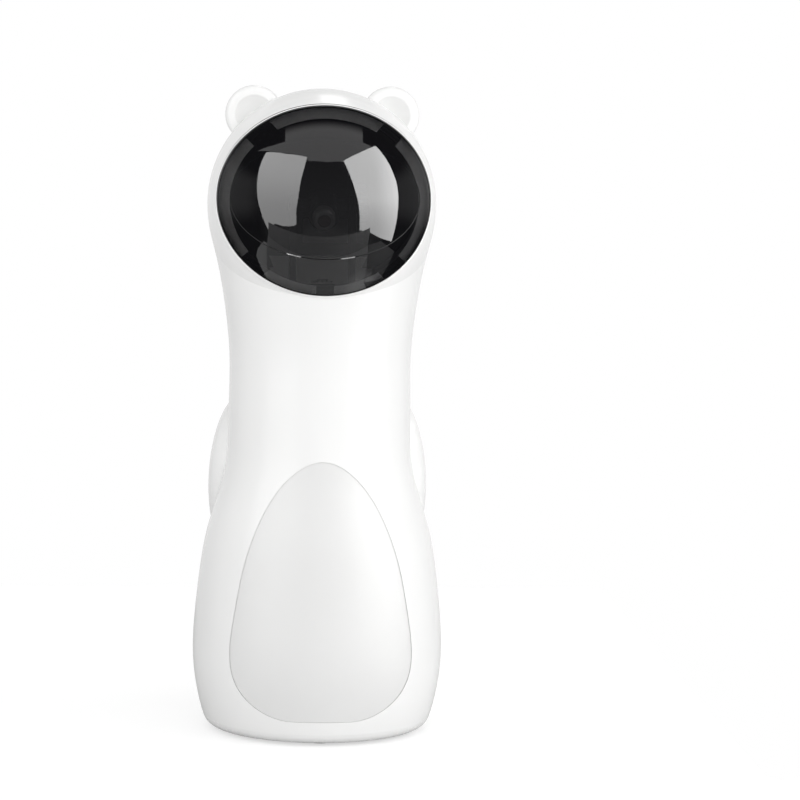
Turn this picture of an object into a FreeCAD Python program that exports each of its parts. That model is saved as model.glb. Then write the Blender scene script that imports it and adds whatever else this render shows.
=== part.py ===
import FreeCAD, Part
import math
import os

# Automatic cat laser toy: a bear-shaped tower whose smoked face dome covers a motorised laser.
# Millimetres. +Z is up, the face looks along -Y, and the origin is the middle of the footprint.

V = FreeCAD.Vector
UP = V(0, 0, 1)
RIGHT = V(1, 0, 0)
BACK = V(0, 1, 0)

# ---- body outline: heights and radii of the turned form ----
foot_stand = 0.8            # how far the rubber feet hold the shell off the floor
base_round = 5.0            # radius of the rounded bottom edge
base_radius = 37.5
base_flare = 19.0           # lean of the side, in degrees, where it leaves the bottom edge
# points that pull the side curve into shape, as (radius, height), from the bottom edge up
ankle = (41.3, 20.0)
hip = (40.7, 36.0)
waist = (38.7, 54.0)
chest = (36.7, 66.0)
armpit = (32.5, 78.0)
shoulder = (29.6, 90.0)
neck = (29.9, 106.0)
throat = (29.1, 122.0)
jaw = (31.2, 140.0)
cheek = (34.1, 156.0)
temple_drop = 7.1           # the side stands upright over this height below the middle of the head
head_height, head_radius = 172.1, 37.2
wall = 2.4
seam = 0.2                  # line between the front and rear shells

# ---- face dome ----
face_sink = 0.2             # the face form lies this far inside the head at the sides and the top,
face_swell = 3.6            # stands this far in front of it
chin_drop = 9.6             # and reaches this far below it
lens_rise = 2.0             # middle of the oval opening above the middle of the head
lens_side_margin = 2.6      # from the head's side to the oval opening
lens_top_margin = 7.0       # half of what the opening leaves of the head's height
lens_thickness = 1.8
lens_gap = 0.15
collar_drop = 0.3           # the white collar lies this far under the dome's surface
bezel_thickness = 1.4
bezel_width = 4.4           # of the ring beside the window,
bezel_top_width = 4.7       # over it
bezel_chin_width = 3.0      # and under it
bezel_skirt = 1.2
bezel_back = 1.0
# gaps in the ring, as (angle about the middle of the opening, width)
bezel_gaps = ((-137, 8.6), (-90, 5.6), (-45, 8.4), (45, 7.4), (134.5, 9.0))
ledge_width = 1.6
ledge_depth = 3.5
ledge_backing = 1.6

# ---- ears and arms ----
ear_side = 22.2
ear_rise = 28.7             # middle of the ears above the middle of the head
ear_radius = 9.4
ear_thickness = 7.0
ear_round = 2.4
ear_dish_radius = 6.4
ear_dish_depth = 2.2
arm_side, arm_back, arm_height = 26.0, 10.5, 82.0
arm_half_width, arm_half_depth, arm_half_length = 10.0, 11.0, 27.0
arm_lean = 3.0

# ---- belly panel: points that pull half of the egg outline into shape, as (side, height) ----
belly_top, belly_bottom = 90.8, 8.4
belly_crown = 5.0
belly_shoulder = (15.8, 82.4)
belly_chest = (25.0, 59.8)
belly_middle = (27.5, 43.2)
belly_hip = (32.0, 17.2)
belly_toe = 16.5
belly_flat = 9.4            # half of the straight bottom edge
belly_sink = 0.25
belly_thickness = 1.1
belly_gap = 0.08
belly_pin_radius = 1.5
belly_pin_heights = (24.0, 70.0)

# ---- base plate, feet and its screws ----
base_plate_thickness = 2.4
fit_gap = 0.15              # clearance round parts that drop into place
rest_gap = 0.1              # clearance between a part and its seat
foot_radius = 5.0
foot_height = 2.0
foot_inset = 7.5            # from the edge of the base plate
foot_angles = (0, 90, 180, 270)
base_screw_inset = 3.6      # from the edge of the base plate
base_boss_angles = (-45, -135, 25, 155)
base_boss_height = 11.0

# ---- screws and their bosses ----
boss_radius = 3.1
web_thickness = 1.6
screw_radius = 1.25
screw_head_radius = 2.4
screw_head_height = 1.7
screw_slot_width = 0.6
screw_slot_depth = 0.7
screw_length = 8.0
small_screw_radius = 0.9
small_screw_head_radius = 1.8
small_screw_length = 5.0
shell_screw_heights = (104.0, 30.0)
shell_screw_inset = 8.0     # from the outside of the body to the screw's axis
shell_screw_seat = 4.0      # how far behind the seam the head sits
shell_screw_length = 11.0

# ---- battery compartment: three AA cells stand side by side ----
cell_radius = 7.2
cell_length = 49.2
cell_tip_radius = 2.7
cell_tip_height = 1.0
cell_circle = 26.8
cell_spacing = 15.6
cell_bottom = 10.0
cell_gap = 0.4
contact_thickness = 0.4
spring_wire = 0.35
spring_radius = 3.0
spring_turns = 3
spring_height = 2.6
tray_back = 1.6             # wall between the cells and the middle of the body
tray_lip = 2.7              # how far the cradles reach past the cells' axes
tray_plate_reach = 5.6      # how far the end plates reach past the cells' axes
tray_sweep = 98.0
tray_plate = 1.8
door_margin = 1.4           # from the side cells to the sides of the door
door_drop = 2.0             # from the bottom of the cells down to the door's lower edge
door_rise = 9.5             # from the top of the tray up to the door's upper edge
door_corner = 4.0
door_gap = 0.2
door_tab_depth = 5.0
door_tab_thickness = 1.4
door_tab_width = 6.0
door_tab_side = 15.0
door_screw_drop = 5.5       # from the door's upper edge down to its screw
door_boss_length = 3.4
lug_inset = 4.0             # the tray's screw lug stops this far short of its end plates
lug_depth = 5.0
door_lug_half_width = 4.5

# ---- circuit board, button, lamp and charging socket ----
board_half_width = 17.0
board_length = 43.0
board_drop = 6.0            # from the underside of the mechanism's frame down to the board
board_front = 18.6
board_thickness = 1.6
board_hole_inset = 3.2
button_drop = 10.0          # from the top of the board
button_radius = 5.0
button_proud = 0.9
button_travel = 0.8
button_flange = 1.0
button_flange_thickness = 1.0
button_stem_radius = 1.8
button_gap = 0.12
switch_width = 6.0
switch_body = 3.4
switch_plunger_radius = 1.6
switch_plunger_height = 0.8
lamp_drop = 21.0            # from the top of the board
lamp_radius = 1.5
lamp_body_height = 3.2
socket_rise = 7.0           # from the bottom of the board
socket_width, socket_tall, socket_depth = 9.0, 3.3, 7.4
socket_wall = 0.4
chip_size = 9.0
chip_thickness = 1.4
driver_size = 4.5
driver_inset = 5.5
driver_rise = 9.0
capacitor_radius, capacitor_length = 2.5, 5.5
connector_width, connector_height, connector_depth = 7.0, 5.0, 4.5
connector_side = 6.0
connector_drop = 7.0

# ---- mechanism ----
mechanism_rise = 34.0       # from the underside of the frame up to the tilt axis
frame_thickness = 2.5
frame_boss_circle = 23.4
frame_boss_angles = (90, 22.5, 157.5)
frame_edge = 2.6            # from the frame's screws to its rim
frame_boss_height = 9.0
gear_module = 0.6
gear_pressure = 25.0
gear_backlash = 0.16
gear_slack = 0.12           # extra distance between gear centres
pan_axis_y = -8.0
pan_teeth, tilt_teeth, pinion_teeth = 44, 24, 12
pan_gear_lift = 1.7
pan_gear_width = 3.0
pinion_width = 2.8
axle_radius = 2.0
running_gap = 0.05
hub_radius = 4.2
hub_height = 2.2
clip_thickness = 0.8
motor_radius, motor_length = 6.0, 17.0
tilt_motor_radius, tilt_motor_length = 4.0, 14.5
shaft_radius = 0.8
laser_below_lens = 3.1      # the tilt axis lies this far below the middle of the opening
tilt_motor_angle = 45.0     # below horizontal, behind the tilt axis
yoke_inner = 8.6
yoke_arm_thickness = 2.0
yoke_arm_depth = 8.0
tilt_gear_gap = 0.5
trunnion_radius = 1.4
laser_droop = 18.0          # the laser looks this far below level at rest
laser_radius = 3.6
laser_front, laser_back = 13.0, 5.0
laser_bore = 1.0
lens_disc_radius = 2.2
lens_disc_thickness = 1.0
cradle_thickness = 1.3
cradle_front, cradle_back = 8.0, 3.5
shroud_gap = 0.5
shroud_thickness = 1.2
shroud_depth = 25.0
shroud_lift = 10.5          # the liner starts this far above the mechanism's frame
mechanism_sweep = 18.0      # space the turning yoke keeps free

# ---- worked out from the sizes above ----
far = 3 * hip[0]
lens_height = head_height + lens_rise
lens_half_width = head_radius - lens_side_margin
lens_half_height = head_radius - lens_top_margin
face_side = head_radius - face_sink     # half-axes of the face form: to the side,
face_front = head_radius + face_swell   # to the front,
face_crown = head_radius - face_sink    # up
face_chin = head_radius + chin_drop     # and down
ear_height = head_height + ear_rise
floor_height = foot_stand
plate_top = floor_height + base_plate_thickness
base_plate_radius = base_radius - base_round
base_boss_circle = base_plate_radius - base_screw_inset
foot_circle = base_plate_radius - foot_inset

cell_top = cell_bottom + cell_length
tray_top = cell_top + cell_tip_height + contact_thickness + tray_plate + rest_gap
tray_bottom = plate_top + rest_gap
tray_inner_radius = cell_circle - cell_radius - tray_back
tray_outer_radius = cell_circle + tray_lip
tray_plate_radius = cell_circle + tray_plate_reach
cell_angle = math.degrees(2 * math.asin(cell_spacing / (2 * cell_circle)))
door_half_width = cell_circle * math.sin(math.radians(cell_angle)) + cell_radius + door_margin
door_bottom = cell_bottom - door_drop
door_top = tray_top + door_rise
door_screw_height = door_top - door_screw_drop
lug_back = tray_plate_radius - lug_inset

tilt_height = lens_height - laser_below_lens
frame_height = tilt_height - mechanism_rise
frame_top = frame_height + frame_thickness
shroud_bottom = frame_top + shroud_lift
frame_radius = frame_boss_circle + frame_edge
gear_bottom = frame_top + pan_gear_lift
gear_top = gear_bottom + pan_gear_width
pan_motor_y = pan_axis_y + gear_module * (pan_teeth + pinion_teeth) / 2 + gear_slack
tilt_distance = gear_module * (tilt_teeth + pinion_teeth) / 2 + gear_slack
tilt_motor_y = pan_axis_y + tilt_distance * math.cos(math.radians(tilt_motor_angle))
tilt_motor_z = tilt_height - tilt_distance * math.sin(math.radians(tilt_motor_angle))
yoke_outer = yoke_inner + yoke_arm_thickness
tilt_gear_start = yoke_outer + tilt_gear_gap

board_back = board_front + board_thickness
board_top = frame_height - board_drop
board_bottom = board_top - board_length
button_height = board_top - button_drop
lamp_height = board_top - lamp_drop
socket_height = board_bottom + socket_rise


# ---- plain solids ----
def block(low, high):
    return Part.makeBox(high[0] - low[0], high[1] - low[1], high[2] - low[2], V(*low))


def rod(start, end, radius):
    start, end = V(*start), V(*end)
    return Part.makeCylinder(radius, (end - start).Length, start, end - start)


def pipe(start, end, outer, inner):
    return rod(start, end, outer).cut(rod(start, end, inner))


def joined(shapes):
    shapes = list(shapes)
    whole = shapes[0]
    for shape in shapes[1:]:
        whole = whole.fuse(shape)
    return whole.removeSplitter()


def with_mirror(shape):
    return [shape, shape.mirror(V(0, 0, 0), RIGHT)]


def ellipsoid(centre, half_axes, low=-90, high=90):
    ball = Part.makeSphere(1.0, V(0, 0, 0), UP, low, high, 360)
    stretch = FreeCAD.Matrix()
    stretch.scale(*half_axes)
    solid = ball.transformGeometry(stretch)
    solid.translate(V(*centre))
    return solid


def oval_prism(half_width, half_height, front, back):
    drum = Part.makeCylinder(1.0, back - front, V(0, 0, 0), BACK)
    stretch = FreeCAD.Matrix()
    stretch.scale(half_width, 1.0, half_height)
    solid = drum.transformGeometry(stretch)
    solid.translate(V(0, front, lens_height))
    return solid


def screw(seat, direction, length, radius, head_radius):
    """A slotted pan-head screw whose head rests on the seat and whose shank runs along the direction."""
    seat, along = V(*seat), V(*direction).normalize()
    across = along.cross(UP if abs(along.z) < 0.5 else RIGHT)
    shank = Part.makeCylinder(radius, length, seat, along)
    head = Part.makeCylinder(head_radius, screw_head_height, seat, along * -1)
    top_edge = max(head.Edges, key=lambda edge: edge.CenterOfMass.dot(along * -1))
    head = head.makeFillet(screw_head_height / 2.5, [top_edge])
    slot = Part.makeBox(screw_slot_width, 2 * head_radius, screw_slot_depth)
    slot.translate(V(-screw_slot_width / 2, -head_radius, screw_head_height - screw_slot_depth))
    turn = FreeCAD.Rotation(across, along.cross(across), along * -1, "ZXY")
    slot.Placement = FreeCAD.Placement(seat, turn).multiply(slot.Placement)
    return shank.fuse(head).removeSplitter().cut(slot)


# ---- gears ----
def gear_flank(teeth):
    """Radius and half-angle of one tooth's flank, from its root to its tip, as an involute."""
    pitch = gear_module * teeth / 2
    pressure = math.radians(gear_pressure)
    base = pitch * math.cos(pressure)
    root, tip = pitch - 1.15 * gear_module, pitch + 0.85 * gear_module
    half_at_pitch = math.pi / (2 * teeth) - gear_backlash / (2 * pitch)
    involute = lambda angle: math.tan(angle) - angle
    steps = 4
    flank = []
    for i in range(steps + 1):
        radius = root + (tip - root) * i / steps
        angle = math.acos(min(1.0, base / radius))
        flank.append((radius, half_at_pitch + involute(pressure) - involute(angle)))
    return flank


def gear(teeth, width, bore):
    """A spur gear about Z, standing on the XY plane, with a tooth on the +X side."""
    flank = gear_flank(teeth)
    points = []
    for tooth in range(teeth):
        middle = 2 * math.pi * tooth / teeth
        for radius, half in flank:
            points.append(V(radius * math.cos(middle - half), radius * math.sin(middle - half), 0))
        for radius, half in reversed(flank):
            points.append(V(radius * math.cos(middle + half), radius * math.sin(middle + half), 0))
    outline = Part.Face(Part.makePolygon(points + points[:1]))
    return outline.extrude(V(0, 0, width)).cut(rod((0, 0, -1), (0, 0, width + 1), bore))


# ---- outer forms ----
def edge_point(inset, degrees):
    """A point on the rounded bottom edge, so many degrees below the level of its centre."""
    turn = math.radians(degrees)
    return V(base_radius - base_round + (base_round - inset) * math.cos(turn), 0,
             floor_height + base_round - (base_round - inset) * math.sin(turn))


def side_curve(inset):
    start = edge_point(inset, base_flare)
    first_rise = ankle[1] / 5
    first = start + V(first_rise * math.tan(math.radians(base_flare)), 0, first_rise)
    pulls = [V(radius - inset, 0, height) for radius, height in
             (ankle, hip, waist, chest, armpit, shoulder, neck, throat, jaw, cheek)]
    temple = V(head_radius - inset, 0, head_height - temple_drop)
    curve = Part.BSplineCurve()
    curve.buildFromPoles([start, first] + pulls + [temple, V(head_radius - inset, 0, head_height)])
    return curve


def body_radius(height):
    """Radius of the outside of the body at a height between the bottom edge and the middle of the head."""
    curve = side_curve(0)
    low, high = curve.FirstParameter, curve.LastParameter
    for halving in range(40):
        middle = (low + high) / 2
        if curve.value(middle).z < height:
            low = middle
        else:
            high = middle
    return curve.value(low).x


def body_form(inset=0.0):
    """The turned body: a rounded bottom edge, the flowing side, and a ball for the head."""
    edge = Part.Arc(edge_point(inset, 90), edge_point(inset, 45 + base_flare / 2),
                    edge_point(inset, base_flare))
    side = side_curve(inset)
    crown = head_radius - inset
    slant = math.sqrt(0.5)
    skull = Part.Arc(V(crown, 0, head_height),
                     V(crown * slant, 0, head_height + crown * slant),
                     V(0, 0, head_height + crown))
    middle = V(0, 0, floor_height + inset)
    bottom = Part.LineSegment(middle, edge_point(inset, 90))
    axis = Part.LineSegment(V(0, 0, head_height + crown), middle)
    outline = Part.Wire([curve.toShape() for curve in (bottom, edge, side, skull, axis)])
    return Part.Face(outline).revolve(V(0, 0, 0), UP, 360)


def face_form(inset):
    """The swelling of the face: the upper half is nearly a ball, the lower half runs down the throat."""
    half_axes = (face_side - inset, face_front - inset)
    centre = (0, 0, head_height)
    upper = ellipsoid(centre, half_axes + (face_crown - inset,), 0, 90)
    lower = ellipsoid(centre, half_axes + (face_chin - inset,), -90, 0)
    return upper.fuse(lower).removeSplitter()


def front_space():
    return block((-far, -far, -far), (far, -seam / 2, 3 * far))


def rear_space():
    return block((-far, seam / 2, -far), (far, far, 3 * far))


def lens_prism(inset, back=-seam / 2):
    return oval_prism(lens_half_width - inset, lens_half_height - inset, -far, back)


def belly_prism(inset, front, back):
    """The egg outline of the belly, drawn in by the inset, as a block along Y."""
    pulls = ((0, belly_top), (belly_crown, belly_top), belly_shoulder, belly_chest, belly_middle, belly_hip,
             (belly_toe, belly_bottom), (belly_flat, belly_bottom))
    middle = (belly_top + belly_bottom) / 2
    narrowing = 1 - inset / belly_hip[0]
    lowering = 1 - inset / (belly_top - middle)
    poles = [V(x * narrowing, front, middle + (z - middle) * lowering) for x, z in pulls]
    curve = Part.BSplineCurve()
    curve.buildFromPoles(poles)
    right = curve.toShape()
    left = right.mirror(V(0, 0, 0), RIGHT)
    flat = Part.LineSegment(poles[-1], V(-poles[-1].x, front, poles[-1].z)).toShape()
    outline = Part.Wire(Part.__sortEdges__([right, flat, left]))
    return Part.Face(outline).extrude(V(0, back - front, 0))


# ---- shells ----
def web_to_wall(x, y, low, high):
    """A rib from a standing boss outwards into the shell's wall."""
    reach = math.hypot(x, y)
    rib = block((reach, -web_thickness / 2, low), (far, web_thickness / 2, high))
    rib.rotate(V(0, 0, 0), UP, math.degrees(math.atan2(y, x)))
    return rib


def standing_boss(x, y, low, high):
    return rod((x, y, low), (x, y, high), boss_radius).fuse(web_to_wall(x, y, low, high))


def on_circle(radius, angles):
    return [(radius * math.cos(math.radians(a)), radius * math.sin(math.radians(a))) for a in angles]


def base_boss_places():
    return on_circle(base_boss_circle, base_boss_angles)


def frame_boss_places():
    return on_circle(frame_boss_circle, frame_boss_angles)


def shell_screw_places():
    """Side and height of the shell screws on the right side."""
    return [(body_radius(z) - shell_screw_inset, z) for z in shell_screw_heights]


def base_bosses(front):
    low = plate_top + rest_gap
    places = [place for place in base_boss_places() if (place[1] < 0) == front]
    return [standing_boss(x, y, low, low + base_boss_height) for x, y in places]


def base_screw_holes():
    return [rod((x, y, 0), (x, y, plate_top + base_boss_height), screw_radius)
            for x, y in base_boss_places()]


def base_opening():
    radius = base_plate_radius + fit_gap
    return rod((0, 0, -1), (0, 0, floor_height + wall + 1), radius)


def front_shell():
    outer = body_form().fuse(face_form(collar_drop))
    shell = outer.cut(body_form(wall)).common(front_space())
    ledge = lens_prism(-ledge_backing).cut(lens_prism(ledge_width))
    ledge = ledge.common(face_form(collar_drop)).common(body_form(0.5))
    ledge = ledge.cut(face_form(lens_thickness + bezel_thickness + ledge_depth + 2 * rest_gap))
    bosses = base_bosses(True)
    for x, z in shell_screw_places():
        bosses += with_mirror(rod((x, -far, z), (x, -seam / 2, z), boss_radius))
    bosses = [boss.common(body_form(0.5)) for boss in bosses]
    shell = joined([shell, ledge] + bosses)
    seat = face_form(lens_thickness + bezel_thickness + 2 * rest_gap)
    shell = shell.cut(lens_prism(0).cut(seat)).cut(lens_prism(ledge_width))
    recess = belly_prism(0, -far, 0).cut(body_form(belly_sink + belly_thickness + rest_gap))
    shell = shell.cut(recess).cut(base_opening())
    holes = base_screw_holes()
    for x, z in shell_screw_places():
        depth = shell_screw_length - shell_screw_seat + 1
        holes += with_mirror(rod((x, -depth, z), (x, 0, z), screw_radius))
    for z in belly_pin_heights:
        holes.append(rod((0, -far, z), (0, 0, z), belly_pin_radius + fit_gap))
    for hole in holes:
        shell = shell.cut(hole)
    return shell


def ear():
    centre = V(ear_side, seam / 2, ear_height)
    disc = Part.makeCylinder(ear_radius, ear_thickness, centre, BACK)
    rims = [edge for edge in disc.Edges if edge.Closed and edge.Length > ear_radius]
    disc = disc.makeFillet(ear_round, rims)
    dish_ball = (ear_dish_radius ** 2 + ear_dish_depth ** 2) / (2 * ear_dish_depth)
    dish = Part.makeSphere(dish_ball, centre + V(0, ear_dish_depth - dish_ball, 0))
    return disc.cut(dish)


def arm():
    shape = ellipsoid((0, 0, 0), (arm_half_width, arm_half_depth, arm_half_length))
    shape.rotate(V(0, 0, 0), BACK, -arm_lean)
    shape.translate(V(arm_side, arm_back, arm_height))
    return shape


def door_prism(inset):
    low = (-door_half_width + inset, 0, door_bottom + inset)
    high = (door_half_width - inset, far, door_top - inset)
    panel = block(low, high)
    corners = [edge for edge in panel.Edges if abs(edge.tangentAt(edge.FirstParameter).y) > 0.9]
    return panel.makeFillet(door_corner - inset, corners)


def board_screw_places():
    x = board_half_width - board_hole_inset
    return [(side * x, z) for side in (-1, 1)
            for z in (board_bottom + board_hole_inset, board_top - board_hole_inset)]


def rear_shell():
    limbs = with_mirror(ear()) + with_mirror(arm())
    outer = joined([body_form()] + limbs)
    shell = outer.cut(body_form(wall)).common(rear_space())
    bosses = base_bosses(False)
    for x, z in shell_screw_places():
        bosses += with_mirror(rod((x, seam / 2, z), (x, far, z), boss_radius + 1))
    for x, z in board_screw_places():
        bosses.append(rod((x, board_back + rest_gap, z), (x, far, z), small_screw_radius + 1.4))
    for x, y in frame_boss_places():
        bosses.append(standing_boss(x, y, frame_height - frame_boss_height, frame_height - rest_gap))
    bosses = [boss.common(body_form(0.5)) for boss in bosses]
    shell = joined([shell] + bosses)
    cuts = base_screw_holes() + [base_opening(), door_prism(0)]
    for x, z in shell_screw_places():
        well = rod((x, shell_screw_seat, z), (x, far, z), screw_head_radius + fit_gap)
        cuts += with_mirror(well) + with_mirror(rod((x, 0, z), (x, far, z), screw_radius + fit_gap))
    for x, z in board_screw_places():
        cuts.append(rod((x, 0, z), (x, board_back + small_screw_length, z), small_screw_radius))
    for x, y in frame_boss_places():
        cuts.append(rod((x, y, frame_height - screw_length), (x, y, frame_height), screw_radius))
    cuts.append(rod((0, board_back, button_height), (0, far, button_height), button_radius + button_gap))
    cuts.append(rod((0, board_back, lamp_height), (0, far, lamp_height), lamp_radius + fit_gap))
    mouth = 0.6
    cuts.append(block((-socket_width / 2 - mouth, board_back, socket_height - socket_tall / 2 - mouth),
                      (socket_width / 2 + mouth, far, socket_height + socket_tall / 2 + mouth)))
    for cut in cuts:
        shell = shell.cut(cut)
    return shell


# ---- face ----
def dome_lens():
    return face_form(0).cut(face_form(lens_thickness)).common(lens_prism(lens_gap))


def dome_bezel():
    """A ring in five pieces inside the dome, held by a skirt that lines the opening behind it."""
    front = lens_thickness + rest_gap
    skirt_inset = ledge_width + fit_gap
    skirt = lens_prism(skirt_inset).cut(lens_prism(skirt_inset + bezel_skirt))
    skirt = skirt.cut(rod((0, pan_axis_y, 0), (0, pan_axis_y, tilt_height), mechanism_sweep))
    hollow = face_form(front + bezel_thickness).cut(skirt)
    ring = face_form(front).common(lens_prism(lens_gap, -bezel_back)).cut(hollow)
    mean_width = (bezel_top_width + bezel_chin_width) / 2
    window = oval_prism(lens_half_width - bezel_width, lens_half_height - mean_width, -far, 0)
    window.translate(V(0, 0, (bezel_chin_width - bezel_top_width) / 2))
    ring = ring.cut(window)
    skirt_front = face_form(front + bezel_thickness)
    for angle, width in bezel_gaps:
        gap = block((0, -far, -width / 2), (far, -seam, width / 2))
        gap.rotate(V(0, 0, 0), BACK, -angle)
        gap.translate(V(0, 0, lens_height))
        ring = ring.cut(gap.cut(skirt_front))
    return ring


def inner_shroud():
    outside = wall + shroud_gap
    keep = block((-far, seam, shroud_bottom), (far, shroud_depth, far * 2))
    return body_form(outside).cut(body_form(outside + shroud_thickness)).common(keep)


def belly_panel():
    layer = body_form(belly_sink).cut(body_form(belly_sink + belly_thickness))
    panel = layer.common(belly_prism(belly_gap, -far, 0))
    pins = []
    for z in belly_pin_heights:
        pin = rod((0, -far, z), (0, 0, z), belly_pin_radius)
        pins.append(pin.common(body_form(belly_sink + belly_thickness / 2)).cut(body_form(wall + 1.2)))
    return joined([panel] + pins)


# ---- base ----
def foot_places():
    return on_circle(foot_circle, foot_angles)


def base_plate():
    plate = rod((0, 0, floor_height), (0, 0, plate_top), base_plate_radius)
    for x, y in foot_places():
        pocket = rod((x, y, 0), (x, y, foot_height + rest_gap), foot_radius + rest_gap)
        plate = plate.cut(pocket)
    head_depth = floor_height + screw_head_height / 1.5
    for x, y in base_boss_places():
        plate = plate.cut(rod((x, y, 0), (x, y, plate_top), screw_radius + fit_gap))
        plate = plate.cut(rod((x, y, 0), (x, y, head_depth), screw_head_radius + fit_gap))
    return plate


def rubber_feet():
    feet = []
    for x, y in foot_places():
        foot = rod((x, y, 0), (x, y, foot_height), foot_radius)
        tread = min(foot.Edges, key=lambda edge: edge.CenterOfMass.z)
        feet.append(foot.makeChamfer(0.4, [tread]))
    return Part.makeCompound(feet)


def base_screws():
    seat = floor_height + screw_head_height / 1.5
    return Part.makeCompound([screw((x, y, seat), (0, 0, 1), screw_length, screw_radius, screw_head_radius)
                              for x, y in base_boss_places()])


def shell_screws():
    places = [(side * x, z) for x, z in shell_screw_places() for side in (-1, 1)]
    return Part.makeCompound([screw((x, shell_screw_seat, z), (0, -1, 0), shell_screw_length,
                                    screw_radius, screw_head_radius) for x, z in places])


# ---- battery compartment ----
def cell_centre(index):
    angle = math.radians(index * cell_angle)
    return cell_circle * math.sin(angle), cell_circle * math.cos(angle)


def sector(inner, outer, low, high, sweep):
    """Part of a ring about Z, centred on the rear."""
    ring = Part.makeCylinder(outer, high - low, V(0, 0, low), UP, sweep)
    ring = ring.cut(rod((0, 0, low), (0, 0, high), inner))
    ring.rotate(V(0, 0, 0), UP, 90 - sweep / 2)
    return ring


def battery_tray():
    body = sector(tray_inner_radius, tray_outer_radius, tray_bottom, tray_top, tray_sweep)
    lid = sector(tray_inner_radius, tray_plate_radius, tray_top - tray_plate, tray_top, tray_sweep)
    floor = sector(tray_inner_radius, tray_plate_radius, tray_bottom, tray_bottom + tray_plate, tray_sweep)
    lug = block((-door_lug_half_width, lug_back - lug_depth, tray_top - tray_plate),
                (door_lug_half_width, lug_back, door_screw_height + door_lug_half_width))
    tray = joined([body, lid, floor, lug])
    for index in (-1, 0, 1):
        x, y = cell_centre(index)
        bore = rod((x, y, tray_bottom + tray_plate), (x, y, tray_top - tray_plate), cell_radius + cell_gap)
        way_out = block((x - cell_radius - cell_gap, y, tray_bottom + tray_plate),
                        (x + cell_radius + cell_gap, far, tray_top - tray_plate))
        tray = tray.cut(bore).cut(way_out)
    return tray.cut(rod((0, 0, door_screw_height), (0, far, door_screw_height), screw_radius + fit_gap))


def battery_cell(index):
    x, y = cell_centre(index)
    can = rod((x, y, cell_bottom), (x, y, cell_top), cell_radius)
    rims = [edge for edge in can.Edges if edge.Closed and edge.Length > cell_radius]
    can = can.makeFillet(0.6, rims)
    tip = rod((x, y, cell_top), (x, y, cell_top + cell_tip_height), cell_tip_radius)
    return can.fuse(tip)


def battery_contacts():
    plates = []
    for index in (-1, 0, 1):
        x, y = cell_centre(index)
        low = tray_top - tray_plate - contact_thickness
        plates.append(block((x - 4, y - 4, low), (x + 4, y + 4, tray_top - tray_plate)))
    return Part.makeCompound(plates)


def battery_springs():
    low = tray_bottom + tray_plate
    coils = []
    for index in (-1, 0, 1):
        x, y = cell_centre(index)
        helix = Part.makeHelix(spring_height / spring_turns, spring_height, spring_radius)
        corners = [V(spring_radius + spring_wire * math.cos(math.pi * i / 4), 0,
                     spring_wire * math.sin(math.pi * i / 4)) for i in range(9)]
        wire_end = Part.makePolygon(corners)
        coil = Part.Wire([helix]).makePipeShell([wire_end], True, True)
        coil.translate(V(x, y, low + spring_wire + 0.1))
        coils.append(coil)
    return Part.makeCompound(coils)


def battery_door():
    layer = body_form().cut(body_form(wall))
    panel = layer.common(door_prism(door_gap))
    tabs = []
    inner_y = math.sqrt((body_radius(door_bottom) - wall) ** 2 - door_tab_side ** 2)
    for side in (-1, 1):
        x = side * door_tab_side
        low = door_bottom + door_gap
        tabs.append(block((x - door_tab_width / 2, inner_y - door_tab_depth, low),
                          (x + door_tab_width / 2, inner_y + wall / 2, low + door_tab_thickness)))
    boss_front = lug_back + rest_gap
    boss = rod((0, boss_front, door_screw_height), (0, far, door_screw_height), boss_radius + 0.6)
    boss = boss.common(body_form(wall / 2))
    door = joined([panel, boss] + tabs)
    seat = boss_front + door_boss_length
    door = door.cut(rod((0, 0, door_screw_height), (0, far, door_screw_height), screw_radius + fit_gap))
    return door.cut(rod((0, seat, door_screw_height), (0, far, door_screw_height),
                        screw_head_radius + fit_gap))


def door_screw():
    seat = lug_back + rest_gap + door_boss_length
    return screw((0, seat, door_screw_height), (0, -1, 0), screw_length, screw_radius, screw_head_radius)


# ---- electronics ----
def main_board():
    board = block((-board_half_width, board_front, board_bottom), (board_half_width, board_back, board_top))
    for x, z in board_screw_places():
        board = board.cut(rod((x, 0, z), (x, far, z), small_screw_radius + fit_gap))
    return board


def board_screws():
    return Part.makeCompound([screw((x, board_front, z), (0, 1, 0), small_screw_length,
                                    small_screw_radius, small_screw_head_radius)
                              for x, z in board_screw_places()])


def power_button():
    outer = body_radius(button_height) + button_proud
    inner = body_radius(button_height) - wall - 0.3
    cap = rod((0, inner - button_flange_thickness, button_height), (0, outer, button_height), button_radius)
    face = max(cap.Edges, key=lambda edge: edge.CenterOfMass.y)
    cap = cap.makeFillet(0.7, [face])
    flange = rod((0, inner - button_flange_thickness - 0.6, button_height),
                 (0, inner - 0.6, button_height), button_radius + button_flange)
    stem_end = board_back + switch_body + switch_plunger_height + button_travel + 0.05
    stem = rod((0, stem_end, button_height), (0, inner, button_height), button_stem_radius)
    return joined([cap, flange, stem])


def tact_switch():
    half = switch_width / 2
    body = block((-half, board_back, button_height - half),
                 (half, board_back + switch_body, button_height + half))
    tip = board_back + switch_body + switch_plunger_height
    return body.fuse(rod((0, board_back, button_height), (0, tip, button_height), switch_plunger_radius))


def status_lamp():
    shoulder = board_back + lamp_body_height - lamp_radius
    stem = rod((0, board_back, lamp_height), (0, shoulder, lamp_height), lamp_radius)
    return stem.fuse(Part.makeSphere(lamp_radius, V(0, shoulder, lamp_height)))


def light_pipe():
    start = board_back + lamp_body_height + rest_gap
    lens = rod((0, start, lamp_height), (0, far, lamp_height), lamp_radius)
    return lens.common(body_form())


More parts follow.
